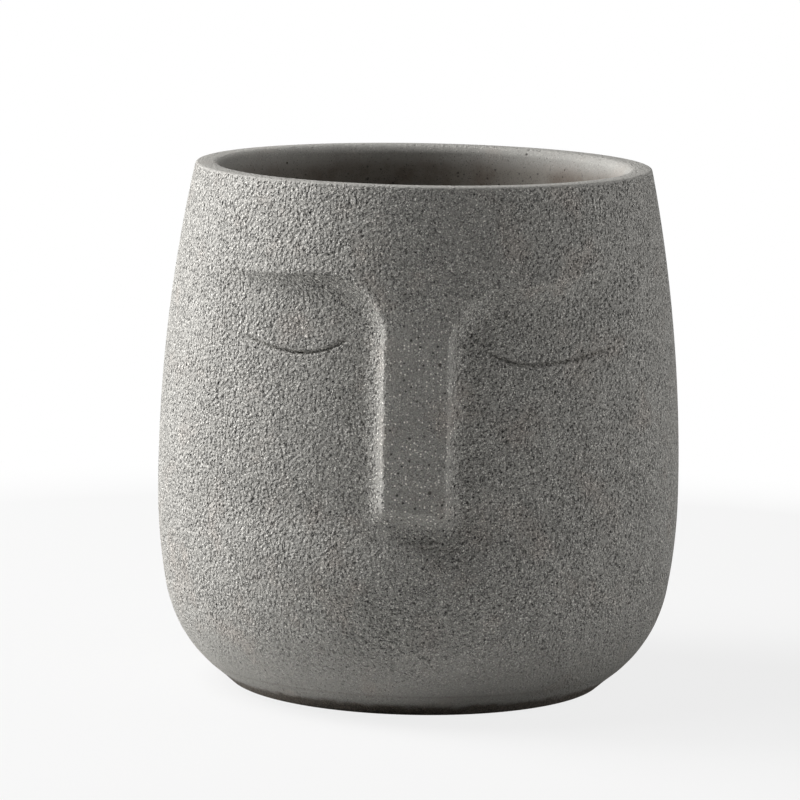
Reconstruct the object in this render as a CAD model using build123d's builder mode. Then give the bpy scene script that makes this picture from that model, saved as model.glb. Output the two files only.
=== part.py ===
from build123d import *

import os
from math import cos, radians, sqrt, tan

# A cast cement plant pot in the shape of a head, with its drain fittings and its foot pads.
# Millimetres. The face looks along -Y, Z is up, and the origin is on the table under the pot's centre.

# Turned skin of the pot
pot_height = 150.0
belly_radius = 75.5
belly_height = 56.4
rim_draw = 9.9
bend_draw = 2.6
bend_height = 27.6
heel_draw = 16.5
heel_height = 4.3
base_draw = 21.8
base_edge_round = 0.8

# Rim and planting space
rim_wall = 7.3
rim_outer_round = 1.0
rim_inner_round = 2.6
floor_thickness = 13.0
floor_round = 10.0
core_draft = 2.0

# Face relief: cheeks that stand behind the skin, under a proud brow and beside a proud nose
face_depth = 5.0
face_fade_angle = 50.0
brow_below_rim = 25.2
brow_corner_round = 12.0
brow_flank_angle = 30.0
nose_centre = -1.1
nose_width = 15.8
nose_bottom_height = 61.3
nose_flank_angle = 32.0
nose_cove_round = 2.0
eye_spacing = 72.0
eye_width = 31.0
eye_sag = 4.0
eye_below_brow = 18.4
eye_groove_width = 1.1
eye_groove_depth = 0.8

# Drain hole, with a recess under it for the plug's head
drain_radius = 7.0
plug_recess_radius = 14.0
plug_recess_depth = 3.0

# Drain plug, pushed in from below
plug_clearance = 0.05
plug_head_gap = 2.0
plug_head_thickness = 2.2
plug_head_round = 0.6
plug_stem_gap = 0.8
plug_top_gap = 1.0
plug_rib_count = 3
plug_rib_height = 1.4
plug_rib_bevel = 0.5
plug_bore_radius = 4.0
plug_bore_depth = 6.0

# Drain screen, loose on the floor inside
screen_radius = 25.0
screen_thickness = 1.2
screen_rim_width = 2.6
screen_rim_height = 2.0
screen_rim_gap = 0.4
screen_pitch = 3.6
screen_hole = 2.5

# Foot pads, glued in sockets under the base
pad_count = 4
pad_radius = 6.0
pad_thickness = 2.0
pad_edge_round = 0.4
pad_socket_depth = 1.0
pad_socket_clearance = 0.2
pad_edge_distance = 5.0
pad_start_angle = 45.0

# One overrun for every cut that passes right through
overrun = 1.0

# Heights above the table
base_z = pad_thickness - pad_socket_depth
heel_z = base_z + heel_height
bend_z = base_z + bend_height
belly_z = base_z + belly_height
rim_z = base_z + pot_height
floor_z = base_z + floor_thickness
brow_z = rim_z - brow_below_rim
nose_bottom_z = base_z + nose_bottom_height
eye_z = brow_z - eye_below_brow

# Radii of the skin and of the planting space
rim_radius = belly_radius - rim_draw
bend_radius = belly_radius - bend_draw
heel_radius = belly_radius - heel_draw
base_radius = belly_radius - base_draw
mouth_radius = rim_radius - rim_wall
floor_radius = mouth_radius - (rim_z - floor_z) * tan(radians(core_draft))

# Underside: the base plane looks down, and the pads stand in from the base's edge
base_plane = Plane((0, 0, base_z), x_dir=(1, 0, 0), z_dir=(0, 0, -1))
recess_z = base_z + plug_recess_depth
pad_socket_radius = pad_radius + pad_socket_clearance
pad_circle_radius = base_radius - pad_edge_distance - pad_radius
pad_places = PolarLocations(pad_circle_radius, pad_count, start_angle=pad_start_angle).local_locations

# Plug, from the recess and the hole that it fits
plug_head_radius = plug_recess_radius - plug_head_gap
plug_rib_radius = drain_radius - plug_clearance
plug_stem_radius = drain_radius - plug_stem_gap
plug_stem_length = floor_z - recess_z - plug_top_gap

# Radius of the skin's upper arc, and how far out the skin stands at the brow
skin_arc = (rim_draw**2 + (rim_z - belly_z) ** 2) / (2 * rim_draw)
brow_radius = belly_radius - skin_arc + sqrt(skin_arc**2 - (brow_z - belly_z) ** 2)

# The cheeks are turned about an axis set back from the pot's own, so that they run out into the skin
face_setback = face_depth / (1 - cos(radians(face_fade_angle)))
face_gain = face_setback - face_depth
face_axis = Axis((0, face_setback, 0), (0, 0, 1))


def cheek_core(inset):
    """Solid whose front is the cheek surface, or stands behind that surface by the inset."""
    gain = face_gain - inset
    chin = bend_radius + face_setback - inset
    with BuildPart() as core:
        with BuildSketch(Plane.XZ.offset(-face_setback)):
            with BuildLine():
                belly = (belly_radius + gain, belly_z)
                upper = TangentArc(belly, (rim_radius + gain, rim_z), tangent=(0, 1), mode=Mode.PRIVATE)
                lower = TangentArc(belly, (chin, bend_z), tangent=(0, -1), mode=Mode.PRIVATE)
                points = (upper @ 1, upper @ 0.5, belly, lower @ 0.5, lower @ 1)
                Spline(points, tangents=(-(upper % 1), lower % 1))
                Polyline(lower @ 1, (chin, base_z), (0, base_z), (0, rim_z), upper @ 1)
            make_face()
        revolve(axis=face_axis)
    return core.part


def brow_ledge(edge_z):
    """Ring above a cheek, whose underside slopes from the brow's edge down into the head."""
    outer = belly_radius + face_setback
    edge = brow_radius + face_gain + face_depth / 2
    slope = tan(radians(brow_flank_angle))
    with BuildPart() as ledge:
        with BuildSketch(Plane.XZ.offset(-face_setback)):
            with BuildLine():
                Polyline(
                    (mouth_radius, edge_z - (edge - mouth_radius) * slope),
                    (outer, edge_z + (outer - edge) * slope),
                    (outer, rim_z),
                    (mouth_radius, rim_z),
                    close=True,
                )
            make_face()
        revolve(axis=face_axis)
    return ledge.part


cheeks = cheek_core(0)
groove_bed = cheek_core(eye_groove_depth)
ledge = brow_ledge(brow_z)

# Nose, widening from its front face back into the head
with BuildPart() as nose:
    with BuildSketch(Plane.XZ.offset(belly_radius)):
        with Locations((nose_centre, nose_bottom_z)):
            Rectangle(nose_width, rim_z - nose_bottom_z, align=(Align.CENTER, Align.MIN))
    extrude(amount=-belly_radius, taper=-nose_flank_angle)

# Brow and nose joined as a shell that reaches behind the cheeks, with a rounded corner on each side
with BuildPart() as brow_and_nose:
    add(ledge)
    add(nose.part)
    with BuildSketch(Plane.XY):
        with Locations(face_axis.position):
            Circle(rim_radius + face_gain - face_depth)
    extrude(amount=2 * rim_z, both=True, mode=Mode.SUBTRACT)
    corners = edges().filter_by(GeomType.BSPLINE).filter_by_position(Axis.Z, eye_z, brow_z + face_depth)
    corners = corners.filter_by(lambda edge: abs((edge @ 0).Y - (edge @ 1).Y) > face_depth)
    fillet(corners, radius=brow_corner_round)

# What is cut away below the brow and beside the nose, with coves where the nose meets the cheeks
with BuildPart() as face_cut:
    with BuildSketch(Plane.XY.offset(bend_z)):
        Rectangle(2 * belly_radius, belly_radius, align=(Align.CENTER, Align.MAX))
    extrude(amount=rim_z - bend_z)
    add(cheeks, mode=Mode.SUBTRACT)
    add(brow_and_nose.part, mode=Mode.SUBTRACT)
    coves = edges().filter_by(GeomType.BSPLINE).filter_by_position(Axis.X, -2 * nose_width, 2 * nose_width)
    coves = coves.filter_by_position(Axis.Y, -belly_radius + 3 * face_depth / 4, 0)
    coves = coves.filter_by_position(Axis.Z, nose_bottom_z - face_depth, brow_z - brow_corner_round)
    fillet(coves, radius=nose_cove_round)

# Closed eyes, each a groove along a sagging line
with BuildPart() as eye_grooves:
    with BuildSketch(Plane.XZ):
        for side in (-1, 1):
            lid_x = nose_centre + side * eye_spacing / 2
            with BuildLine():
                ThreePointArc(
                    (lid_x - eye_width / 2, eye_z),
                    (lid_x, eye_z - eye_sag),
                    (lid_x + eye_width / 2, eye_z),
                )
            trace(line_width=eye_groove_width)
    extrude(amount=belly_radius)
    add(groove_bed, mode=Mode.SUBTRACT)

# Pot: turned skin, face, planting space, drain hole and pad sockets
with BuildPart() as pot_body:
    with BuildSketch(Plane.XZ):
        with BuildLine():
            upper = TangentArc((belly_radius, belly_z), (rim_radius, rim_z), tangent=(0, 1))
            lower = TangentArc((belly_radius, belly_z), (bend_radius, bend_z), tangent=(0, -1))
            heel = TangentArc(lower @ 1, (heel_radius, heel_z), tangent=lower % 1)
            Polyline(heel @ 1, (base_radius, base_z), (0, base_z), (0, rim_z), upper @ 1)
        make_face()
        fillet(vertices().sort_by_distance((rim_radius, rim_z))[0], radius=rim_outer_round)
        fillet(vertices().sort_by_distance((base_radius, base_z))[0], radius=base_edge_round)
    revolve(axis=Axis.Z)
    add(face_cut.part, mode=Mode.SUBTRACT)
    add(eye_grooves.part, mode=Mode.SUBTRACT)
    with BuildSketch(Plane.XZ):
        with BuildLine():
            Polyline(
                (0, floor_z),
                (floor_radius, floor_z),
                (mouth_radius, rim_z),
                (rim_radius, rim_z),
                (rim_radius, rim_z + overrun),
                (0, rim_z + overrun),
                close=True,
            )
        make_face()
        fillet(vertices().sort_by_distance((mouth_radius, rim_z))[0], radius=rim_inner_round)
        fillet(vertices().sort_by_distance((floor_radius, floor_z))[0], radius=floor_round)
    revolve(axis=Axis.Z, mode=Mode.SUBTRACT)
    with Locations(base_plane):
        CounterBoreHole(drain_radius, plug_recess_radius, plug_recess_depth, depth=floor_thickness)
    with Locations(base_plane):
        with PolarLocations(pad_circle_radius, pad_count, start_angle=pad_start_angle):
            Hole(pad_socket_radius, depth=pad_socket_depth)
pot_body.part.label = "pot_body"

# Plug: head in the recess, stem up the drain hole, sealing ribs, hollow from the top
with BuildPart() as drain_plug:
    with BuildSketch(Plane.XY.offset(recess_z)):
        Circle(plug_head_radius)
    extrude(amount=-plug_head_thickness)
    fillet(edges().sort_by(Axis.Z)[0], radius=plug_head_round)
    with BuildSketch(Plane.XY.offset(recess_z)):
        Circle(plug_stem_radius)
    extrude(amount=plug_stem_length)
    for number in range(plug_rib_count):
        rib_z = recess_z + (number + 1) * plug_stem_length / (plug_rib_count + 1)
        with BuildSketch(Plane.XY.offset(rib_z - plug_rib_height / 2)):
            Circle(plug_rib_radius)
        extrude(amount=plug_rib_height)
    rib_edges = edges().filter_by(GeomType.CIRCLE)
    rib_edges = rib_edges.filter_by(lambda edge: abs(edge.radius - plug_rib_radius) < plug_clearance)
    chamfer(rib_edges, length=plug_rib_bevel)
    with BuildSketch(Plane.XY.offset(recess_z + plug_stem_length)):
        Circle(plug_bore_radius)
    extrude(amount=-plug_bore_depth, mode=Mode.SUBTRACT)
drain_plug.part.label = "drain_plug"

# Screen: square holes in a disc with a raised rim
mesh_reach = screen_radius - screen_rim_width - screen_hole / sqrt(2)
mesh_row = 2 * int(mesh_reach / screen_pitch) + 1
mesh_grid = GridLocations(screen_pitch, screen_pitch, mesh_row, mesh_row).local_locations
mesh_places = [place for place in mesh_grid if place.position.length < mesh_reach]
with BuildPart() as drain_screen:
    with BuildSketch(Plane.XY.offset(floor_z)):
        Circle(screen_radius)
        with Locations(mesh_places):
            Rectangle(screen_hole, screen_hole, mode=Mode.SUBTRACT)
    extrude(amount=screen_thickness)
    with BuildSketch(Plane.XY.offset(floor_z)):
        Circle(screen_radius)
        Circle(screen_radius - screen_rim_width + screen_rim_gap, mode=Mode.SUBTRACT)
    extrude(amount=screen_rim_height)
drain_screen.part.label = "drain_screen"

os.makedirs("parts", exist_ok=True)
export_step(pot_body.part, "parts/pot_body.step")
export_step(drain_plug.part, "parts/drain_plug.step")
export_step(drain_screen.part, "parts/drain_screen.step")

# Foot pads, one in each socket
for number, place in enumerate(pad_places, start=1):
    with BuildPart() as foot_pad:
        with BuildSketch(Plane.XY):
            with Locations(place):
                Circle(pad_radius)
        extrude(amount=pad_thickness)
        fillet(edges().sort_by(Axis.Z)[0], radius=pad_edge_round)
    foot_pad.part.label = f"foot_pad_{number}"
    export_step(foot_pad.part, f"parts/foot_pad_{number}.step")
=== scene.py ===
import math

import bpy
import numpy as np
from mathutils import Matrix, Vector


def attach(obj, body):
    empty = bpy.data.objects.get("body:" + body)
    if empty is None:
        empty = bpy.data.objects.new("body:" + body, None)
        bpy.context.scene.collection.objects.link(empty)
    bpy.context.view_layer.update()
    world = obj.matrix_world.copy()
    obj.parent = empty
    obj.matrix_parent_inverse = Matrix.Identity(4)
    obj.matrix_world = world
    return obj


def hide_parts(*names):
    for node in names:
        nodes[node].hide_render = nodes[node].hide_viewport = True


# A cast cement plant pot in the shape of a head. Metres, face along -Y, Z up, table at zero.

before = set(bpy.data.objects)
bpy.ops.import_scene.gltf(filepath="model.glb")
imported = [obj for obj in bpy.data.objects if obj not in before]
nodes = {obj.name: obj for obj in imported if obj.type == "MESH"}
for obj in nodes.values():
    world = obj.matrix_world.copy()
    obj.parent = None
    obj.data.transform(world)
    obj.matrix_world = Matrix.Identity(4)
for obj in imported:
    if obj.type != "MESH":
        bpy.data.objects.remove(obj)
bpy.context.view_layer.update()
mm = 0.001

# Sizes of the pot, as cast. Its outside is an arc from the rim to the belly, one from the belly to
# the bend, a rounder one down to the heel, and a straight chamfer to the base.
rim_height = 151 * mm
rim_radius = 65.6 * mm
mouth_radius = 58.3 * mm
rim_outer_round = 1.0 * mm
rim_inner_round = 2.6 * mm
belly_radius = 75.5 * mm
belly_height = 57.4 * mm
bend_radius = 72.9 * mm
bend_height = 28.6 * mm
heel_round = 38.8 * mm
heel_radius = 59.0 * mm
heel_height = 5.3 * mm
base_radius = 53.7 * mm
base_height = 1.0 * mm
base_round = 0.8 * mm
floor_height = 14.0 * mm
floor_radius = 53.5 * mm
floor_round = 10.0 * mm
drain_radius = 7.0 * mm
recess_radius = 14.0 * mm
recess_height = 4.0 * mm
edge_wear = 0.4 * mm
outside_unevenness = 0.18 * mm
inside_unevenness = 0.3 * mm
pad_circle = 42.7 * mm
pad_socket_radius = 6.2 * mm
pad_socket_depth = 1.0 * mm

# Sizes of the face: cheeks turned about an axis set back from the pot's own, which fade out at the
# sides between two angles, in degrees, and below over a short length of chin
cheek_setback = 14.0 * mm
cheek_gain = 9.0 * mm
cheek_softness = 0.4 * mm
cheek_fade = (52, 60)
chin_top = belly_height + 4 * mm
chin_length = 24 * mm

# The nose widens upwards by its flare, and its lower edge drops towards the right by its tilt
nose_centre = -1.1 * mm
nose_half_width = 8.0 * mm
nose_middle = 80 * mm
nose_flare = 0.007
nose_bottom = 62.5 * mm
nose_tilt = 0.045

# The brow's lower edge: level near the nose, then drooping at the left and lifting at the right
brow_left = 126.6 * mm
brow_left_level = 25 * mm
brow_left_droop = 1.9
brow_right = 123.7 * mm
brow_right_level = 16 * mm
brow_right_lift = 3.2
brow_corner_round = 16.0 * mm

# Edges of the relief, in section: the whole sweep, the worn crest that is part of it, and how far
# the edge wavers and is nibbled along its length
nose_sweep = 8.2 * mm
brow_sweep = 12.6 * mm
chin_sweep = 10.0 * mm
nose_crest = 1.5 * mm
brow_crest = 0.8 * mm
edge_waver = 0.18 * mm
edge_nibble = 0.07 * mm

# The eyes, in millimetres: middle, lowest height, half width and rise of the left half, and of the
# right half
eyes = (
    (-35.5, 104.0, 14.3, 3.2, 14.2, 4.6),
    (33.0, 102.0, 15.0, 4.8, 21.6, 3.7),
)
eye_groove_width = 1.5 * mm
eye_groove_depth = 1.2 * mm


def arc_points(centre, radius, start, end, count):
    """Points round an arc in the pot's half section, from one angle in degrees to another."""
    angles = np.radians(np.linspace(start, end, count))
    return [(centre[0] + radius * math.cos(a), centre[1] + radius * math.sin(a)) for a in angles]


def skin_radius(height):
    """Radius of the pot's turned outside at a height, or at an array of heights."""
    z = np.asarray(height, float)
    drop = belly_radius - rim_radius
    rise = rim_height - belly_height
    upper = (drop**2 + rise**2) / (2 * drop)
    drop = belly_radius - bend_radius
    rise = belly_height - bend_height
    lower = (drop**2 + rise**2) / (2 * drop)
    heel_x = bend_radius - heel_round * (lower - drop) / lower
    heel_z = bend_height + heel_round * rise / lower
    above = belly_radius - upper + np.sqrt(upper**2 - (z - belly_height) ** 2)
    below = belly_radius - lower + np.sqrt(np.maximum(lower**2 - (z - belly_height) ** 2, 0))
    round_in = heel_x + np.sqrt(np.maximum(heel_round**2 - (heel_z - z) ** 2, 0))
    heel_slope = (heel_radius - base_radius) / (heel_height - base_height)
    straight = heel_radius - (heel_height - z) * heel_slope
    radius = np.where(z > belly_height, above, below)
    radius = np.where(z < bend_height, round_in, radius)
    return np.where(z < heel_height, straight, radius)


# Making by hand: small helpers round Blender's own modelling tools


def select_only(*pieces):
    """Leaves edit mode and selects nothing but these pieces, the first of them active."""
    if bpy.context.object and bpy.context.object.mode != "OBJECT":
        bpy.ops.object.mode_set(mode="OBJECT")
    bpy.ops.object.select_all(action="DESELECT")
    for piece in pieces:
        piece.select_set(True)
    bpy.context.view_layer.objects.active = pieces[0] if pieces else None


def turned_line(name, points):
    """A closed loop of edges, drawn point after point in the plane behind the pot's axis."""
    select_only()
    bpy.ops.mesh.primitive_plane_add(size=mm)
    piece = bpy.context.object
    piece.name = name
    bpy.ops.object.mode_set(mode="EDIT")
    bpy.ops.mesh.merge(type="CENTER")
    at = Vector((0, 0, 0))
    for number, (radius, height) in enumerate(points):
        to = Vector((0, radius, height))
        if number == 0:
            bpy.ops.transform.translate(value=to - at)
        else:
            bpy.ops.mesh.extrude_region_move(TRANSFORM_OT_translate={"value": to - at})
        at = to
    bpy.ops.mesh.select_all(action="SELECT")
    bpy.ops.mesh.edge_face_add()
    bpy.ops.mesh.delete(type="ONLY_FACE")
    bpy.ops.mesh.select_all(action="SELECT")
    return piece


def turn(spans):
    """Spins the selected line right round the pot's axis, in spans of degrees and steps."""
    for angle, steps in spans:
        bpy.ops.mesh.spin(
            steps=steps, angle=math.radians(angle), center=(0, 0, 0), axis=(0, 0, 1)
        )
    bpy.ops.mesh.select_all(action="SELECT")
    bpy.ops.mesh.remove_doubles(threshold=0.01 * mm)
    bpy.ops.mesh.normals_make_consistent(inside=False)
    bpy.ops.object.mode_set(mode="OBJECT")


def places(piece):
    """The piece's vertices as an array of x, y and z."""
    flat = np.empty(len(piece.data.vertices) * 3)
    piece.data.vertices.foreach_get("co", flat)
    return flat.reshape(-1, 3)


def move_to(piece, points):
    """Puts the piece's vertices at these places."""
    piece.data.vertices.foreach_set("co", points.ravel())
    piece.data.update()


# The pot, turned from its half section


# Stretches down the outside, in millimetres, and the points on each: close together at the brow,
# the eyes and the nose's end
outside_stretches = (
    (150.2, 127.0, 16),
    (127.0, 112.0, 34),
    (112.0, 108.6, 6),
    (108.6, 99.4, 30),
    (99.4, 66.0, 26),
    (66.0, 50.0, 28),
    (50.0, 28.6, 17),
    (28.6, 5.3, 18),
)


def pot_section():
    """The cast's half section, from the drain hole out over the floor, up, over and under."""
    floor_x = floor_radius - floor_round + 0.35 * mm
    inner = (mouth_radius + rim_inner_round - 0.09 * mm, rim_height - rim_inner_round)
    outer = (rim_radius - 0.81 * rim_outer_round, rim_height - rim_outer_round)
    # Floor
    section = [(drain_radius, floor_height - edge_wear), (drain_radius + edge_wear, floor_height)]
    section += [(radius * mm, floor_height) for radius in (12, 20, 28, 36)]
    section += arc_points((floor_x, floor_height + floor_round), floor_round, -90, -2, 9)
    # Wall, drawn straight from the floor's round to the rim's
    low = section[-1]
    high = (inner[0] - rim_inner_round * math.cos(math.radians(2)), inner[1])
    for step in range(1, 14):
        share = step / 14
        section.append((low[0] + (high[0] - low[0]) * share, low[1] + (high[1] - low[1]) * share))
    # Rim
    section += arc_points(inner, rim_inner_round, 178, 90, 8)
    section += [(62.1 * mm, rim_height), (63.4 * mm, rim_height)]
    section += arc_points(outer, rim_outer_round, 90, 12, 6)
    # Outside; its first height is left out, because the rim's round ends there
    heights = [np.linspace(*stretch, endpoint=False) for stretch in outside_stretches]
    for height in np.concatenate(heights)[1:]:
        section.append((float(skin_radius(height * mm)), float(height * mm)))
    # Heel and base, then the recess and the drain hole
    section += [(heel_radius, heel_height), (57.0 * mm, 3.7 * mm)]
    section += arc_points((53.66 * mm, base_height + base_round), base_round, -39, -90, 4)
    section += [(radius, base_height) for radius in (50.5 * mm, pad_circle, 34 * mm, 25 * mm)]
    section += [(recess_radius + edge_wear, base_height), (recess_radius, base_height + edge_wear)]
    section += [(recess_radius, recess_height), (drain_radius + edge_wear, recess_height)]
    section += [(drain_radius, recess_height + edge_wear), (drain_radius, 8.5 * mm)]
    return section


def smooth(low, high, value):
    """0 below the low end, 1 above the high end, and a soft step between."""
    t = np.clip((value - low) / (high - low), 0, 1)
    return t * t * (3 - 2 * t)


def ripple(x, z, size, seed):
    """Gentle unevenness between -1 and 1, whose swells are about this size."""
    k = 2 * math.pi / size
    total = np.zeros_like(x)
    for turn_number in range(5):
        angle = seed + 2.4 * turn_number
        pace = k * (0.75 + 0.14 * turn_number)
        total += np.sin(pace * (x * math.cos(angle) + z * math.sin(angle)) + 1.7 * angle * angle)
    return total / 5


def face_relief(x, y, z):
    """How far the cast's front stands behind the turned skin, at points on that skin."""
    radius = skin_radius(z)
    turn_angle = np.arctan2(x, -y)
    # Depth of the cheeks, which run out into the skin at the sides and at the chin
    gain = cheek_gain + (cheek_setback - cheek_gain) * smooth(0, 1, (chin_top - z) / chin_length)
    reach = np.sqrt((radius + gain) ** 2 - (cheek_setback * np.sin(turn_angle)) ** 2)
    depth = radius - reach + cheek_setback * np.cos(turn_angle)
    depth = (depth + np.sqrt(depth**2 + cheek_softness**2)) / 2
    depth = depth * (1 - smooth(*cheek_fade, np.degrees(np.abs(turn_angle))))
    # Distance out from the brow's edge and from the nose's edge, along the skin
    wave = edge_waver * ripple(x, z, 16 * mm, 1.3) + edge_nibble * ripple(x, z, 2.6 * mm, 4.1)
    brow_line = np.where(
        x < nose_centre,
        brow_left - brow_left_droop * np.maximum(-x - brow_left_level, 0) ** 2,
        brow_right + brow_right_lift * np.maximum(x - brow_right_level, 0) ** 2,
    )
    under_brow = brow_line - z + wave
    half_width = nose_half_width + nose_flare * (z - nose_middle)
    beside = np.abs(x - nose_centre) - half_width + wave
    below = nose_bottom - nose_tilt * x - z + wave
    out = np.hypot(np.maximum(beside, 0), np.maximum(below, 0))
    out = out + np.minimum(np.maximum(beside, below), 0)
    corner = brow_corner_round
    rounded = corner - np.hypot(np.maximum(corner - under_brow, 0), np.maximum(corner - out, 0))
    clear = np.minimum(under_brow, out)
    away = np.where((under_brow < corner) & (out < corner), rounded, clear)
    # Section across an edge: a worn crest, a steep flank and a cove that runs out into the cheek
    to_brow = np.maximum(out, 0) / (np.maximum(out, 0) + np.maximum(under_brow, 0) + 0.1 * mm)
    to_chin = np.maximum(below, 0) / (np.maximum(below, 0) + np.maximum(beside, 0) + 0.1 * mm)
    sweep = nose_sweep + to_brow * (brow_sweep - nose_sweep)
    sweep = sweep + (1 - to_brow) * to_chin * (chin_sweep - nose_sweep)
    crest = nose_crest - to_brow * (nose_crest - brow_crest)
    slope = np.arccos(np.clip(1 - depth / sweep, -1, 1))
    width = sweep * np.sin(slope)
    crest_width = crest * np.sin(slope)
    cove = sweep - crest
    on_crest = crest - np.sqrt(np.maximum(crest**2 - np.clip(away, 0, crest) ** 2, 0))
    rest = np.clip(width - away, 0, None)
    in_cove = depth - (cove - np.sqrt(np.maximum(cove**2 - rest**2, 0)))
    behind = np.where(away < crest_width, on_crest, np.where(away < width, in_cove, depth))
    behind = np.where(away <= 0, 0, behind)
    return behind + eye_grooves(x, z)


def eye_grooves(x, z):
    """Depth of the two closed eyes, each a cut line that sags and dies out at its ends."""
    cut = np.zeros_like(x)
    for centre, low, left_half, left_rise, right_half, right_rise in eyes:
        across = x / mm - centre
        half = np.where(across < 0, left_half, right_half)
        rise = np.where(across < 0, left_rise, right_rise)
        share = np.abs(across) / half
        line = low + rise * share**2
        tilt = 1 / np.sqrt(1 + (2 * rise * share / half) ** 2)
        away = np.abs(z / mm - line) * tilt
        groove = smooth(0, 1, 1 - away / (0.5 * eye_groove_width / mm))
        fade = (1 - 0.55 * share**2) * (1 - smooth(0.9, 1.03, share))
        cut = np.maximum(cut, eye_groove_depth * groove * fade)
    return cut


def shape_pot(piece):
    """Presses the face into the turned skin, and gives the whole cast its slight unevenness."""
    points = places(piece)
    x, y, z = points.T
    radius = np.hypot(x, y)
    skin = skin_radius(z)
    outside = (radius > skin - 0.05 * mm) & (z > 12 * mm) & (z < rim_height - 0.5 * mm)
    front = outside & (y < 0)
    inward = np.zeros(len(points))
    inward[front] = face_relief(x[front], y[front], z[front])
    # Slightly out of round, outside and inside
    round_angle = np.arctan2(x, -y)
    swell = 0.5 + 0.25 * np.sin(2 * round_angle + 0.8)
    swell = swell + 0.25 * np.sin(3 * round_angle + 34 * z - 1.1)
    above_heel = smooth(0, 1, (z - 12 * mm) / (12 * mm))
    inward += np.where(outside, outside_unevenness * swell * above_heel, 0)
    inside = (radius < skin - 4 * mm) & (z > floor_height + 8 * mm) & (z < rim_height - 3 * mm)
    inward += np.where(inside, -inside_unevenness * np.sin(2 * round_angle + 50 * z), 0)
    scale = 1 - inward / np.maximum(radius, mm)
    points[:, 0] = x * scale
    points[:, 1] = y * scale
    move_to(piece, points)


# Spans of the turn from the back round: wide steps at the back, close ones over the face and nose
spans_round = ((120, 34), (46, 84), (28, 96), (46, 84), (120, 34))


def make_pot():
    """The cement cast: turned, pressed, and cut for its foot pads."""
    pot = turned_line("cast_pot", pot_section())
    turn(spans_round)
    shape_pot(pot)
    cutters = []
    for number in range(4):
        angle = math.radians(45 + 90 * number)
        at = (pad_circle * math.cos(angle), pad_circle * math.sin(angle), base_height)
        select_only()
        bpy.ops.mesh.primitive_cylinder_add(
            vertices=48, radius=pad_socket_radius, depth=2 * pad_socket_depth, location=at
        )
        cutters.append(bpy.context.object)
    select_only(*cutters)
    bpy.ops.object.join()
    cutter = bpy.context.object
    bpy.ops.object.transform_apply(location=True, rotation=True, scale=True)
    select_only(pot)
    sockets = pot.modifiers.new("pad_sockets", "BOOLEAN")
    sockets.operation = "DIFFERENCE"
    sockets.solver = "MANIFOLD"
    sockets.object = cutter
    bpy.ops.object.modifier_apply(modifier="pad_sockets")
    bpy.data.objects.remove(cutter)
    bpy.ops.object.shade_smooth_by_angle(angle=math.radians(42))
    return pot


# Finishes


class Signal:
    """A value in a finish. Sums written with it add the Math nodes that they need."""

    def __init__(self, finish, socket):
        self.finish = finish
        self.socket = socket

    def joined(self, operation, *values):
        """The result of one Math node on these values, in their order."""
        inputs = dict(enumerate(values))
        node = self.finish.node("ShaderNodeMath", {"operation": operation}, inputs)
        return Signal(self.finish, node.outputs[0])

    def __add__(self, other):
        return self.joined("ADD", self, other)

    def __radd__(self, other):
        return self.joined("ADD", other, self)

    def __sub__(self, other):
        return self.joined("SUBTRACT", self, other)

    def __rsub__(self, other):
        return self.joined("SUBTRACT", other, self)

    def __mul__(self, other):
        return self.joined("MULTIPLY", self, other)

    def __rmul__(self, other):
        return self.joined("MULTIPLY", other, self)

    def __pow__(self, other):
        return self.joined("POWER", self, other)

    def size(self):
        """The value without its sign."""
        return self.joined("ABSOLUTE", self)

    def least(self, other):
        """The smaller of the two."""
        return self.joined("MINIMUM", self, other)

    def most(self, other):
        """The larger of the two."""
        return self.joined("MAXIMUM", self, other)

    def step(self, low, high):
        """0 at the low end, 1 at the high end and a soft step between; the ends may be swapped."""
        node = self.finish.node(
            "ShaderNodeMapRange",
            {"interpolation_type": "SMOOTHSTEP"},
            {"Value": self, "From Min": low, "From Max": high, "To Min": 0.0, "To Max": 1.0},
        )
        return Signal(self.finish, node.outputs[0])


class Nodes:
    """The nodes of a material or of the world, started afresh."""

    def __init__(self, owner):
        owner.use_nodes = True
        self.tree = owner.node_tree
        self.tree.nodes.clear()

    def node(self, kind, settings=None, inputs=None):
        """Adds a node, makes its settings, then fills its sockets with values or links."""
        node = self.tree.nodes.new(kind)
        for name, value in (settings or {}).items():
            setattr(node, name, value)
        for name, value in (inputs or {}).items():
            socket = node.inputs[name]
            if isinstance(value, Signal):
                value = value.socket
            if isinstance(value, bpy.types.NodeSocket):
                self.tree.links.new(value, socket)
            else:
                socket.default_value = value
        return node

    def rays(self, *kinds):
        """1 for rays of these kinds, which see a plain white background, and 0 for the rest."""
        path = self.node("ShaderNodeLightPath")
        seen = Signal(self, path.outputs[kinds[0]])
        for kind in kinds[1:]:
            seen = seen.most(Signal(self, path.outputs[kind]))
        return seen


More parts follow.
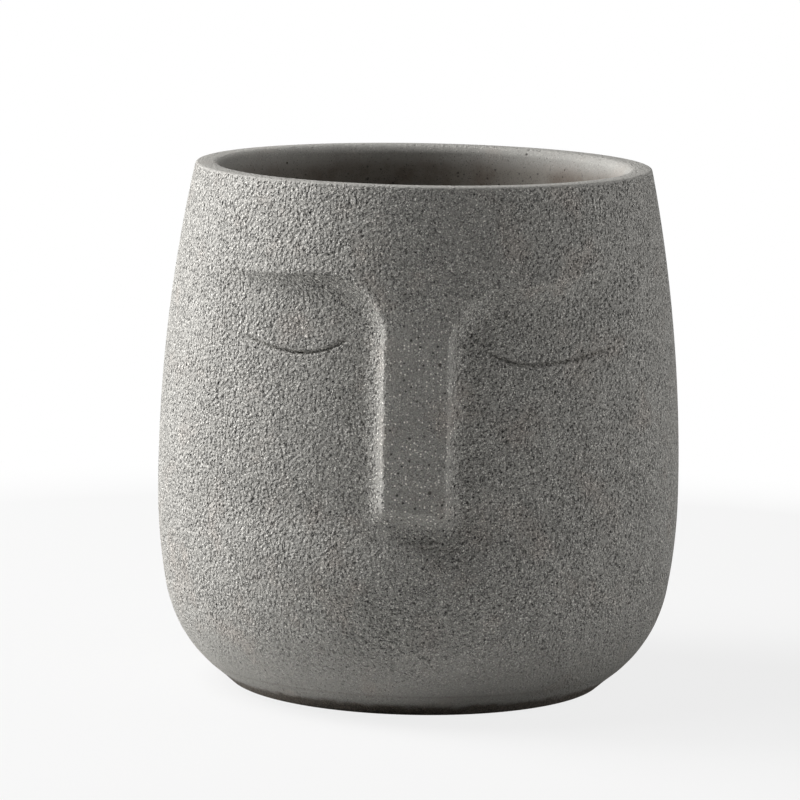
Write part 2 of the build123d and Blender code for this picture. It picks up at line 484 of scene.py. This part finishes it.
class Finish(Nodes):
    """A material built from nodes, on the coordinates of the piece itself."""

    def __init__(self, name):
        self.material = bpy.data.materials.new(name)
        super().__init__(self.material)
        self.place = self.node("ShaderNodeTexCoord").outputs["Object"]
        split = self.node("ShaderNodeSeparateXYZ", inputs={0: self.place})
        self.x, self.y, self.z = (Signal(self, socket) for socket in split.outputs)

    def noise(self, size, detail, roughness):
        """Soft mottling whose patches are about this size."""
        inputs = {"Vector": self.place, "Scale": 1 / size, "Detail": detail, "Roughness": roughness}
        return Signal(self, self.node("ShaderNodeTexNoise", inputs=inputs).outputs[0])

    def near(self, at, close_by, far_off):
        """1 close by a point and 0 far off it; the point and both distances are in millimetres."""
        inputs = {0: self.place, 1: Vector(at) * mm}
        away = self.node("ShaderNodeVectorMath", {"operation": "DISTANCE"}, inputs)
        return Signal(self, away.outputs["Value"]).step(far_off * mm, close_by * mm)

    def seeds(self, spacing):
        """Distance from the nearest of scattered seeds, in spacings, and that seed's chance."""
        inputs = {"Vector": self.place, "Scale": 1 / spacing}
        cells = self.node("ShaderNodeTexVoronoi", inputs=inputs)
        chance = self.node("ShaderNodeSeparateColor", inputs={0: cells.outputs["Color"]})
        return Signal(self, cells.outputs["Distance"]), Signal(self, chance.outputs[0])

    def mixed(self, share, first, second):
        """One colour laid over another, by a share."""
        inputs = {0: share, 6: first, 7: second}
        return self.node("ShaderNodeMix", {"data_type": "RGBA"}, inputs).outputs[2]

    def tinted(self, colour, brightness):
        """A colour made lighter or darker by a signal."""
        inputs = {0: colour, "Scale": brightness}
        return self.node("ShaderNodeVectorMath", {"operation": "SCALE"}, inputs).outputs[0]

    def close(self, colour, roughness, height, ior):
        """Ends the finish in one shader; the height is in millimetres."""
        inputs = {"Height": height, "Strength": 1.0, "Distance": mm}
        normal = self.node("ShaderNodeBump", inputs=inputs).outputs[0]
        inputs = {"Base Color": colour, "Roughness": roughness, "Normal": normal, "IOR": ior}
        return self.surface(self.node("ShaderNodeBsdfPrincipled", inputs=inputs))

    def surface(self, shader):
        """Makes this shader the material's surface."""
        self.node("ShaderNodeOutputMaterial", inputs={"Surface": shader.outputs[0]})
        return self.material


def rgb(red, green, blue):
    """A colour as written on a 0 to 255 scale, for the shader."""

    def linear(value):
        value = value / 255
        return value / 12.92 if value <= 0.04045 else ((value + 0.055) / 1.055) ** 2.4

    return (linear(red), linear(green), linear(blue), 1.0)


# Colours of the cement: the rim grey is painted light, the pinhole colour painted shade, and the
# inside and heel edge colours partly painted shade
cement_grey = rgb(162, 160, 155)
cement_pale = rgb(169, 167, 162)
cement_warm = rgb(172, 160, 151)
rim_painted_lighter = rgb(188, 186, 181)
pinhole_painted_shade = rgb(62, 56, 50)
inside_shaded_grey = rgb(131, 126, 118)
inside_stain_brown = rgb(113, 103, 93)
raw_and_shaded_base = rgb(96, 88, 79)

# Its grain: the crumbs' and specks' sizes, and how far apart the rarer marks lie: painted glints,
# pocks and pinholes
crumb_size = 0.7 * mm
speck_size = 0.39 * mm
painted_glint_spacing = 1.0 * mm
pock_spacing = 1.8 * mm
pinhole_spacing = 5.5 * mm

# Single marks, in millimetres: pinholes that stand alone, and a lump of crumbs beside the nose
lone_pinholes = (
    (3.3, -75.3, 67.9),
    (5.4, -72.9, 103.0),
    (-54.7, -46.2, 115.6),
    (-62.4, 5.6, 151.0),
)
lump_beside_nose = (-16.0, -73.4, 75.9)


def cement_finish():
    """Sanded grey cement outside, smooth on the rim and inside, raw at the heel's edge; painted
    glints, a painted paler rim top, and painted shade in pits, pinholes, inside and at the heel.
    """
    finish = Finish("cast_cement")
    x, y, z = finish.x, finish.y, finish.z
    out = (x * x + y * y) ** 0.5
    # Smooth on the rim and inside; sanded outside, less so at the heel and on the nose's front
    rim_top = z.step(rim_height - 0.9 * mm, rim_height - 0.25 * mm)
    inside = out.step(62.5 * mm, 61.5 * mm) * z.step(7 * mm, 9 * mm)
    smooth_parts = 1 - (1 - rim_top) * (1 - inside)
    sanded = (1 - smooth_parts) * (0.3 + 0.7 * z.step(8 * mm, 36 * mm))
    nose_front = (x - nose_centre).size().step(12 * mm, 9 * mm) * z.step(55 * mm, 58 * mm)
    nose_front = nose_front * z.step(124 * mm, 106 * mm) * y.step(0, -60 * mm)
    # Sand: steep crumbs and specks of paler grain on low swells, closer here than there
    dense = finish.noise(7 * mm, 2.0, 0.5).step(0.3, 0.7)
    swell = finish.noise(0.9 * mm, 0.0, 0.5) - 0.5
    from_crumb, crumb_chance = finish.seeds(crumb_size)
    crumb = (1 - 2.2 * from_crumb).most(0) * crumb_chance.step(0.25, 0.8)
    crumbs = swell * (0.1 + 22 * (swell * swell)) + 0.9 * crumb
    speck = finish.noise(speck_size, 1.0, 0.6) - 0.5
    grains = speck * (0.3 + 45 * (speck * speck))
    pale = ((0.7 + 0.4 * dense) * (1.7 * grains + 3.2 * grains.most(0))).least(1.6)
    # Painted glints: sparse bright specks in the colour that stand in for grains catching the light
    from_painted_glint, painted_glint_chance = finish.seeds(painted_glint_spacing)
    painted_glint = from_painted_glint.step(0.31, 0.15) * painted_glint_chance.step(0.45, 0.6)
    # Pocks: small dents in the height, darkened in the colour with painted shade
    from_pock, pock_chance = finish.seeds(pock_spacing)
    pock_and_painted_shade = from_pock.step(0.25, 0.12) * pock_chance.step(0.38, 0.5)
    # Pinholes scattered in the smooth parts, and the lone ones
    from_hole, hole_chance = finish.seeds(pinhole_spacing)
    hole = from_hole.step(0.085, 0.045) * hole_chance.step(0.5, 0.52) * smooth_parts
    for at in lone_pinholes:
        hole = hole.most(finish.near(at, 0.35, 0.6))
    # Height of it all, in millimetres
    lump = finish.near(lump_beside_nose, 0.5, 2.0)
    soft_waves = finish.noise(3.2 * mm, 3.0, 0.5)
    height = sanded * ((0.85 + 0.4 * dense) * (1 - 0.6 * nose_front) * crumbs - 0.3 * pock_and_painted_shade)
    height = height + 0.12 * smooth_parts * soft_waves + 0.35 * rim_top * crumbs
    height = height + lump * (0.5 + 3.0 * swell) - 0.45 * hole
    # Colour: grey clouds, warmer in patches, with the grain lighter and darker on them, plus
    # painted glints and painted shade in the pocks
    broad = finish.noise(28 * mm, 3.0, 0.55)
    clouds = finish.noise(9 * mm, 3.0, 0.6)
    colour = finish.mixed(clouds.step(0.3, 0.7), cement_grey, cement_pale)
    warm = finish.noise(15 * mm, 3.0, 0.6).step(0.52, 0.75)
    colour = finish.mixed(0.35 * warm, colour, cement_warm)
    # The painted glints are made strongest on the nose's front
    painted_sparkle = (0.9 + 2.3 * nose_front) * painted_glint
    sand = (1 - 0.4 * nose_front) * pale + painted_sparkle - 0.75 * pock_and_painted_shade
    brightness = 1 + 0.12 * (broad - 0.5) + sanded * sand
    brightness = brightness + (0.7 + 0.5 * rim_top) * smooth_parts * grains
    colour = finish.tinted(colour, brightness.most(0.15).least(2.6))
    # The pinholes' dark colour is painted shade
    colour = finish.mixed(0.8 * hole, colour, pinhole_painted_shade)
    # Inside: a darker, browner grey taking over below the rim, painted shade, with brown stains and
    # grit on it
    stains = finish.noise(11 * mm, 4.0, 0.62).step(0.42, 0.66)
    inside_shade_and_stains = finish.mixed(stains, inside_shaded_grey, inside_stain_brown)
    grit_and_pit_shade = (1 - 0.9 * grains.size() - 0.6 * pock_and_painted_shade).most(0.2)
    below_rim = z.step(rim_height - 1.5 * mm, rim_height - 8 * mm)
    colour = finish.mixed(inside * below_rim, colour, finish.tinted(inside_shade_and_stains, grit_and_pit_shade))
    # The rim's top is painted paler than the sides, as painted light where it faces up, and the
    # heel's lower edge is left raw and darkened with painted shade
    colour = finish.mixed(0.5 * rim_top, colour, rim_painted_lighter)
    # The heel's lower edge: partly raw cement, partly painted shade where the pot meets the table
    bare_and_shaded = (z - 5 * mm * (clouds - 0.5)).step(5.4 * mm, 3.2 * mm) * out.step(50 * mm, 52 * mm)
    raw_and_shaded = finish.tinted(raw_and_shaded_base[:3], (1 + 5 * grains).most(0.35).least(2.2))
    colour = finish.mixed(0.95 * bare_and_shaded, colour, raw_and_shaded)
    roughness = 0.66 + 0.06 * smooth_parts + 0.15 * speck
    return finish.close(colour, roughness, height, ior=1.45)


def rubber_finish(name, shade, grain_size, grain_depth):
    """Soft matte rubber with a little dust and a fine moulded grain, its depth in millimetres."""
    finish = Finish(name)
    grain = finish.noise(grain_size, 2.0, 0.55)
    dust = finish.noise(4 * mm, 3.0, 0.6).step(0.48, 0.75)
    lighter = tuple(min(1.0, channel * 1.9 + 0.02) for channel in shade[:3]) + (1.0,)
    colour = finish.mixed(dust * 0.35, shade, lighter)
    roughness = 0.62 + 0.18 * dust + 0.1 * (grain - 0.5)
    return finish.close(colour, roughness, grain_depth * grain, ior=1.43)


def plastic_finish():
    """Black moulded plastic with a fine spark-eroded grain."""
    finish = Finish("screen_moulding")
    grain = finish.noise(0.35 * mm, 2.0, 0.5)
    soil = finish.noise(6 * mm, 4.0, 0.65).step(0.5, 0.78)
    colour = finish.mixed(soil * 0.4, rgb(38, 40, 38), rgb(92, 86, 76))
    roughness = 0.46 + 0.25 * soil + 0.08 * (grain - 0.5)
    return finish.close(colour, roughness, 0.03 * grain, ior=1.5)


# Table, room and lamps

white = (1.0, 1.0, 1.0, 1.0)
table_white = (0.62, 0.62, 0.615, 1.0)
table_size = 6.0
room_light = 0.01
lamp_target = Vector((0, 0, 75 * mm))

# How far the table is washed out before the camera, and the ring over which it turns plain white
table_wash = 0.82
white_out = (0.1, 0.4)

# Lamps: angle round the pot from its front and lift, in degrees, then distance, size and power
lamps = (
    ("window_lamp", -105, 20, 1.4, 0.8, 25.5),
    ("top_lamp", -82, 58, 1.4, 0.7, 10.8),
    ("right_lamp", 92, 12, 1.4, 0.9, 7.9),
)


def make_stage():
    """A white table top that keeps a faint shadow of the pot, and runs out into plain white."""
    select_only()
    bpy.ops.mesh.primitive_plane_add(size=table_size, location=(0, 0, 0))
    table = bpy.context.object
    table.name = "table_top"
    finish = Finish("table_white")
    far = (finish.x * finish.x + finish.y * finish.y) ** 0.5
    seen = finish.rays("Is Camera Ray", "Is Glossy Ray", "Is Transmission Ray")
    plain = (table_wash * finish.rays("Is Camera Ray")).most(seen * far.step(*white_out))
    matte = finish.node("ShaderNodeBsdfDiffuse", inputs={"Color": table_white})
    glow = finish.node("ShaderNodeEmission", inputs={"Color": white, "Strength": 1.0})
    inputs = {0: plain, 1: matte.outputs[0], 2: glow.outputs[0]}
    lit = finish.node("ShaderNodeMixShader", inputs=inputs)
    # Seen from below, the table is clear
    under = finish.node("ShaderNodeNewGeometry").outputs["Backfacing"]
    clear = finish.node("ShaderNodeBsdfTransparent")
    inputs = {0: under, 1: lit.outputs[0], 2: clear.outputs[0]}
    both = finish.node("ShaderNodeMixShader", inputs=inputs)
    table.data.materials.append(finish.surface(both))


def make_room():
    """Even, low light from all round, in front of plain white."""
    world = bpy.data.worlds.new("studio")
    bpy.context.scene.world = world
    room = Nodes(world)
    seen = room.rays("Is Camera Ray", "Is Transmission Ray")
    low = room.node("ShaderNodeBackground", inputs={"Color": white, "Strength": room_light})
    plain = room.node("ShaderNodeBackground", inputs={"Color": white, "Strength": 1.0})
    mix = room.node("ShaderNodeMixShader", inputs={0: seen, 1: low.outputs[0], 2: plain.outputs[0]})
    room.node("ShaderNodeOutputWorld", inputs={"Surface": mix.outputs[0]})


def add_lamp(name, round_angle, lift, distance, size, power):
    """A soft square lamp that looks at the pot, from an angle round it and a height above."""
    turn_angle = math.radians(round_angle)
    rise = math.radians(lift)
    level = math.cos(rise)
    away = Vector((math.sin(turn_angle) * level, -math.cos(turn_angle) * level, math.sin(rise)))
    select_only()
    bpy.ops.object.light_add(type="AREA", location=lamp_target + distance * away)
    lamp = bpy.context.object
    lamp.name = name
    lamp.data.shape = "SQUARE"
    lamp.data.size = size
    lamp.data.energy = power
    lamp.rotation_euler = (-away).to_track_quat("-Z", "Y").to_euler()


# The pot, which takes the place of the plain solid

pot = make_pot()
pot.data.materials.clear()
pot.data.materials.append(cement_finish())
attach(pot, "pot")
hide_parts("pot_body")

# The plug, the screen and the pads are the plain solids, with finishes of their own

plug_rubber = rubber_finish("plug_silicone", rgb(46, 46, 45), 0.5 * mm, 0.04)
pad_rubber = rubber_finish("pad_felt_rubber", rgb(120, 117, 112), 0.6 * mm, 0.12)
finishes = {"drain_plug": plug_rubber, "drain_screen": plastic_finish()}
finishes.update({f"foot_pad_{number}": pad_rubber for number in (1, 2, 3, 4)})
for node_name, material in finishes.items():
    for slot in nodes[node_name].material_slots:
        slot.material = material

make_stage()
make_room()
for lamp in lamps:
    add_lamp(*lamp)

# Camera, where the photograph was taken from: 1.3 m in front and a little above the rim
camera_place = (0, -1.3, 0.277)
camera_lens = 204.2
pitch, yaw, roll = (math.radians(angle) for angle in (8.52, -0.25, 1.04))
level = math.cos(pitch)
look = Vector((math.sin(yaw) * level, math.cos(yaw) * level, -math.sin(pitch)))
across = look.cross(Vector((0, 0, 1))).normalized()
upward = across.cross(look)
right = math.cos(roll) * across + math.sin(roll) * upward
up = math.cos(roll) * upward - math.sin(roll) * across
select_only()
bpy.ops.object.camera_add(location=camera_place)
camera = bpy.context.object
camera.rotation_euler = Matrix((right, up, -look)).transposed().to_euler()
camera.data.sensor_width = 36
camera.data.lens = camera_lens
bpy.context.scene.camera = camera
bpy.context.scene.view_settings.view_transform = "Standard"
